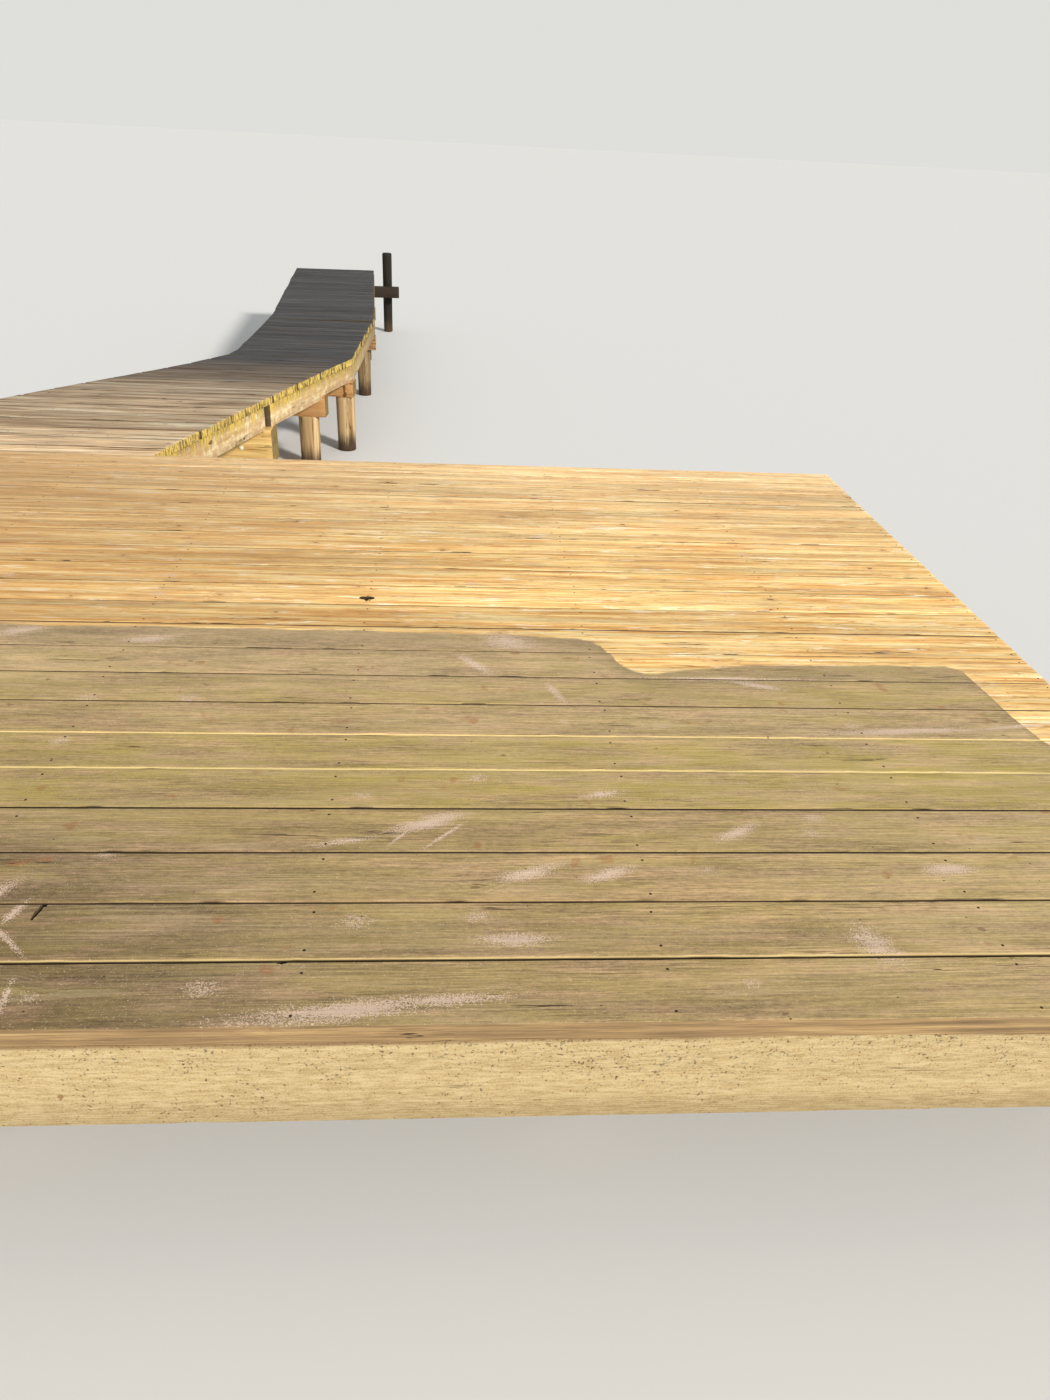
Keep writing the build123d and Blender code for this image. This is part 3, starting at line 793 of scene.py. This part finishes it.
# Walkway sill and caps: heavy sawn pine timbers across the pile heads, bolted down. Their faces are tan
# and checked, their ends are olive in blotches, and the furthest are drawn dark with painted shade, partly
# old wood.
cap_ring_width = 6 * mm

# Heavy sawn pine: gold by the deck and redder beyond, olive in blotches of 45 mm on the end faces, and
# painted shade further out
cap_pine, surface, add = new_finish("heavy_sawn_pine")
figure = pine_figure(add, cap_ring_width, checked=0.56)
wood = add("ValToRGB", {"Fac": figure.streak}, stops=((0.3, "#cfa055"), (0.7, "#ffdd92")))
late = add("Math", {0: figure.ring, 1: 0.3}, "MULTIPLY")
redder = add("MapRange", {"Value": figure.y, "From": (-0.4, 0), "To": (0, 0.75)})
normal = add("NewGeometry", out="Normal")
faces_end = add("SeparateXYZ", {0: normal}, out="X")
faces_end = add("Math", {0: faces_end}, "ABSOLUTE")
blotch = add("TexNoise", {"Vector": figure.place, "Scale": 22, "Detail": 4})
olive_ends = add("Math", {0: blotch, 1: 0.7, 2: faces_end}, "MULTIPLY_ADD")
olive_ends = add("MapRange", {"Value": olive_ends, "From": (0.95, 1.3), "To": (0, 0.85)})
# Painted shade, partly old wood: the furthest caps are drawn almost black
shade_on_far_caps = add("MapRange", {"Value": figure.y, "From": (1, 3.4), "To": (0, 0.96)})
finish_wood(add, surface, figure, wood, (
    (late, "#ad7a42"), (redder, "#b07c4f"), (figure.knot, "#6d4726"), (olive_ends, "#75602f"),
    (shade_on_far_caps, "#1c1814"), (figure.check, "#49331e"),
), relief=1 * mm)

random.seed(44)
cap_nodes = ["landing_sill"] + [f"cap_{bent}" for bent in range(2, 7)]
build(cap_nodes, sawn_timber, "_sawn", cap_pine, "beam", boxed=True, ease=4 * mm, strips=6, uneven=1 * mm)


# Walkway stringers: 38 mm pine planks on edge from one cross timber to the next, spiked down. Those
# of the second bay start behind the first bay's on the sill and are notched over the next cap.
stringer_ring_width = 4 * mm
drip_width = 16 * mm

# Lichened sawn pine: cream with salmon and pale flakes of 40 mm, gold lichen dripped from the boards, and
# painted shade further out and on the end faces
stringer_pine, surface, add = new_finish("lichened_stringer_pine")
figure = pine_figure(add, stringer_ring_width)
wood = add("ValToRGB", {"Fac": figure.streak}, stops=((0.32, "#b8945f"), (0.62, "#f4daa8")))
late = add("Math", {0: figure.ring, 1: 0.2}, "MULTIPLY")
blotch = add("TexNoise", {"Vector": figure.place, "Scale": 26, "Detail": 5, "Roughness": 0.65})
salmon = add("MapRange", {"Value": blotch, "From": (0.5, 0.58), "To": (0, 0.6)})
flaked = add("MapRange", {"Value": blotch, "From": (0.46, 0.4), "To": (0, 0.6)})
drip = add("VectorMath", {0: figure.place, 1: (1 / drip_width, 1 / drip_width, 9)}, "MULTIPLY")
drip = add("TexNoise", {"Vector": drip, "Scale": 1, "Detail": 3})
lichen = add("Math", {0: drip, 1: 0.2, 2: figure.z}, "MULTIPLY_ADD")
lichen = add("MapRange", {"Value": lichen, "From": (0.56, 0.6), "To": (0, 0.92)})
gold = add("ValToRGB", {"Fac": drip}, stops=((0.4, "#75602a"), (0.6, "#d5b556")))
# Painted shade, partly older wood: the stringers darken further out
older_and_shaded = add("MapRange", {"Value": figure.y, "From": (-0.6, 2.2), "To": (0, 0.85)})
# Painted shade, partly darker end grain: the end faces are drawn dark brown
normal = add("NewGeometry", out="Normal")
end_grain_and_shade = add("SeparateXYZ", {0: normal}, out="Y")
end_grain_and_shade = add("Math", {0: end_grain_and_shade}, "ABSOLUTE")
end_grain_and_shade = add("MapRange", {"Value": end_grain_and_shade, "From": (0.8, 0.88), "To": (0, 0.9)})
finish_wood(add, surface, figure, wood, (
    (late, "#a9824f"), (salmon, "#c9996f"), (flaked, "#f6e3b8"), (lichen, gold), (older_and_shaded, "#6a5638"),
    (figure.knot, "#7c5630"), (end_grain_and_shade, "#3f3020"), (figure.check, "#4b3a24"),
))

random.seed(55)
stringer_nodes = [f"walkway_stringers_{bay}" for bay in range(1, 7)]
build(stringer_nodes, sawn_timber, "_sawn", stringer_pine, "stringer", ease=2 * mm)


# Walkway boards: 140 mm pine laid across the stringers and cut flush to the walkway's two bent edges.
# Never washed: silver brown near the deck, dark grey further out, partly with painted shade, with golden
# lichen on every end.
walkway_step = 24 * mm
walkway_strips = 8
cut_back = 7 * mm

# Silvered pine: grey streaks and 9 mm dark lines, bright near the deck and nearly black further out with
# painted shade, under lichen in 12 mm tufts, with painted shade between the boards
walkway_pine, surface, add = new_finish("silvered_pine")
figure = pine_figure(add, board_ring_width, knot_share=0.3, knot_size=9 * mm)
look = add("Attribute", out="Vector", attribute_name="look")
board_tone = add("SeparateXYZ", {0: look})
bright = ((0.3, "#8f6c4a"), (0.5, "#e0bd92"), (0.7, "#fff2d0"))
near = add("ValToRGB", {"Fac": figure.streak}, stops=bright)
# Painted shade, partly older wood: further out the boards turn nearly black
far = add("ValToRGB", {"Fac": figure.streak}, stops=((0.3, "#141415"), (0.72, "#58585b")))
older_and_shaded = add("MapRange", {"Value": figure.y, "From": (-1.5, 0.35)})
lines = add("TexNoise", {"Vector": figure.fibres, "Scale": 115, "Detail": 3, "Roughness": 0.65})
lines = add("MapRange", {"Value": lines, "From": (0.5, 0.66), "To": (0, 0.6)})
wood = near
for mask, over in ((older_and_shaded, far), (lines, "#5a4733"), (figure.knot, "#5f4933")):
    wood = add("Mix", {"Factor": mask, "A": wood, "B": over}, data_type="RGBA")
grey = add("TexNoise", {"Vector": figure.stains, "Scale": 22, "Detail": 4})
tone = add("Math", {0: figure.fibre, 1: 0.8, 2: grey}, "MULTIPLY_ADD")
tone = add("MapRange", {"Value": tone, "From": (0.6, 1.2), "To": (0.6, 1.4)})
board_tone = add("MapRange", {"Value": board_tone, "To": (0.78, 1.24)})
for scale in (tone, board_tone):
    wood = add("VectorMath", {0: wood, "Scale": scale}, "SCALE")
normal = add("NewGeometry", out="Normal")
normal = add("VectorMath", {0: normal}, "ABSOLUTE")
faces_end = add("SeparateXYZ", {0: normal})
drip = add("VectorMath", {0: figure.place, 1: (85, 85, 24)}, "MULTIPLY")
drip = add("TexNoise", {"Vector": drip, "Scale": 1, "Detail": 3, "Roughness": 0.6})
lichen = add("Math", {0: drip, 1: 1.1, 2: faces_end}, "MULTIPLY_ADD")
thinner = add("MapRange", {"Value": figure.y, "From": (-1, 1.2), "To": (0, 0.4)})
lichen = add("Math", {0: lichen, 1: thinner}, "SUBTRACT")
lichen = add("MapRange", {"Value": lichen, "From": (1, 1.2), "To": (0, 0.92)})
gold = add("ValToRGB", {"Fac": drip}, stops=((0.4, "#806629"), (0.56, "#e4c465")))
# Painted shade, partly dirt: the board sides at the gaps are drawn dark
gap_shade_and_dirt = faces_end.node.outputs["Y"]
gap_shade_and_dirt = add("MapRange", {"Value": gap_shade_and_dirt, "From": (0.5, 0.8), "To": (0, 0.9)})
finish_wood(add, surface, figure, wood, (
    (lichen, gold), (gap_shade_and_dirt, "#43351f"), (figure.check, "#3b3127"),
), relief=1 * mm)

random.seed(66)
walkway_surfaces = []
for bay in range(1, 7):
    boards = Shape()
    for corners in solids(f"walkway_boards_{bay}"):
        sawn_timber(
            boards, corners, step=walkway_step, strips=walkway_strips, ease=5 * mm,
            crown=random.uniform(-2.5, 1) * mm, uneven=1.2 * mm,
            short=(random.uniform(0, cut_back), random.uniform(0, cut_back)),
            trim=(random.uniform(0.5, 2.5) * mm, random.uniform(0.5, 2.5) * mm),
        )
    walkway_surfaces.append(BVHTree.FromPolygons(boards.points, boards.faces))
    boards.make(f"walkway_boards_{bay}_weathered", walkway_pine, "walkway_board", f"walkway_boards_{bay}")


# Walkway nails: two rusted nails in every board at each stringer, a little off the stringer's middle.
# They are of the same steel as the deck's, and a nail that would miss the board is left out.
walkway_nail_inset = 28 * mm
plank_tip = 0.01


def middle_line(corners):
    """Plan points at the two ends of a timber's middle line, and its width."""
    outline, _, along = plan_of(corners)
    across = Vector((-along.y, along.x))
    u, v = [[point.dot(way) for point in outline] for way in (along, across)]
    middle = across * ((min(v) + max(v)) / 2)
    return middle + along * min(u), middle + along * max(u), max(v) - min(v)


random.seed(88)
walkway_nails = Shape()
for bay, laid in enumerate(walkway_surfaces, start=1):
    for corners in solids(f"walkway_boards_{bay}"):
        start, end, width = middle_line(corners)
        along = (end - start).normalized()
        across = Vector((-along.y, along.x))
        for plank in solids(f"walkway_stringers_{bay}"):
            plank_start, plank_end, _ = middle_line(plank)
            way = plank_end - plank_start
            for side in (-1, 1):
                line = (start + across * side * (width / 2 - walkway_nail_inset)).dot(across)
                share = (line - plank_start.dot(across)) / way.dot(across)
                if plank_tip < share < 1 - plank_tip:
                    spot = plank_start + way * share
                    spot += Vector([random.uniform(-nail_wander, nail_wander) for _ in range(2)])
                    nail(walkway_nails, laid, spot.x, spot.y)
walkway_nails.make("walkway_nails", nail_steel, "walkway_board")


# Mooring pile: one slim round pile of the same treated pine, driven behind the last cap's long end.
# It stands above the boards and has a bevelled top.
random.seed(77)
build(["mooring_pile"], round_pile, "_checked", pile_pine, "pile", bevel=8 * mm)


# Bolts: galvanised steel, with a round washer under a domed head. Two of them, driven in from the
# front, hold the sill to its outer piles.
washer_radius, washer_thickness = 12 * mm, 3 * mm
head_radius, head_rise = 8 * mm, 5 * mm
bolt_sides = 16
sill_bolt_inset = 155 * mm
sill_bolt_height = 90 * mm
bolt_rings = [(washer_radius, -2 * mm), (washer_radius, washer_thickness)]
bolt_rings += [
    (share * head_radius, washer_thickness + rise * head_rise)
    for share, rise in ((1, 0), (1, 0.4), (0.75, 0.85), (0.35, 1))
]

# Galvanised steel: dull pale grey zinc, its faint spangles drawn 3 mm wide
bolt_zinc, surface, add = new_finish("galvanised_bolt_steel")
place = add("TexCoord", out="Object")
spangle = add("TexVoronoi", {"Vector": place, "Scale": 350}, out="Color")
spangle = add("SeparateColor", {"Color": spangle})
spangle = add("ValToRGB", {"Fac": spangle}, stops=((0, "#e6dbb8"), (1, "#fff6d6")))
feed(surface, {"Base Color": spangle, "Metallic": 0.1, "Roughness": 0.55})

bolts = Shape()
low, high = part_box("landing_sill")
for x in (low.x + sill_bolt_inset, high.x - sill_bolt_inset):
    spot = Vector((x, low.y + 0.6 * mm, high.z - sill_bolt_height))
    round_head(bolts, spot, Vector((1, 0, 0)), Vector((0, 0, 1)), bolt_rings, bolt_sides)
bolts.make("bolt_heads", bolt_zinc, "beam")


# Floor and light: a plain pale studio floor, one broad lamp low behind the camera and to its right,
# and an even pale surround.
floor_half = 150
sun_height = math.radians(28)
sun_from_right = math.radians(40)

floor_paint, surface, add = new_finish("pale_floor_paint")
feed(surface, {"Base Color": "#e4e2dd", "Roughness": 0.9})
floor_mesh = bpy.data.meshes.new("floor")
floor_corners = [(floor_half * x, floor_half * y, 0) for x, y in ((-1, -1), (1, -1), (1, 1), (-1, 1))]
floor_mesh.from_pydata(floor_corners, [], [(0, 1, 2, 3)])
floor_mesh.materials.append(floor_paint)
floor = put("floor", floor_mesh)

lamp = bpy.data.lights.new("soft_key", "SUN")
lamp.energy = 3.6
lamp.angle = math.radians(7)
lamp.color = (1, 0.975, 0.94)
key = put("soft_key", lamp)
key.matrix_world = (
    Matrix.Rotation(sun_from_right, 4, "Z") @ Matrix.Rotation(math.pi / 2 - sun_height, 4, "X")
)

world = bpy.data.worlds.new("pale_studio")
world.use_nodes = True
bpy.context.scene.world = world
add = partial(add_node, world.node_tree)
backdrop, output = [world.node_tree.nodes[name] for name in ("Background", "World Output")]
feed(backdrop, {"Color": (0.9, 0.95, 1, 1), "Strength": 0.48})
shown = add("Background", {"Color": "#dfdfdb", "Strength": 1})
rays = add("LightPath").node.outputs
seen = rays["Is Camera Ray"]
for kind in ("Is Glossy Ray", "Is Transmission Ray"):
    seen = add("Math", {0: seen, 1: rays[kind]}, "MAXIMUM")
mixed = add("MixShader", {0: seen, 1: backdrop.outputs[0], 2: shown})
feed(output, {"Surface": mixed})

bpy.context.scene.view_settings.view_transform = "Standard"
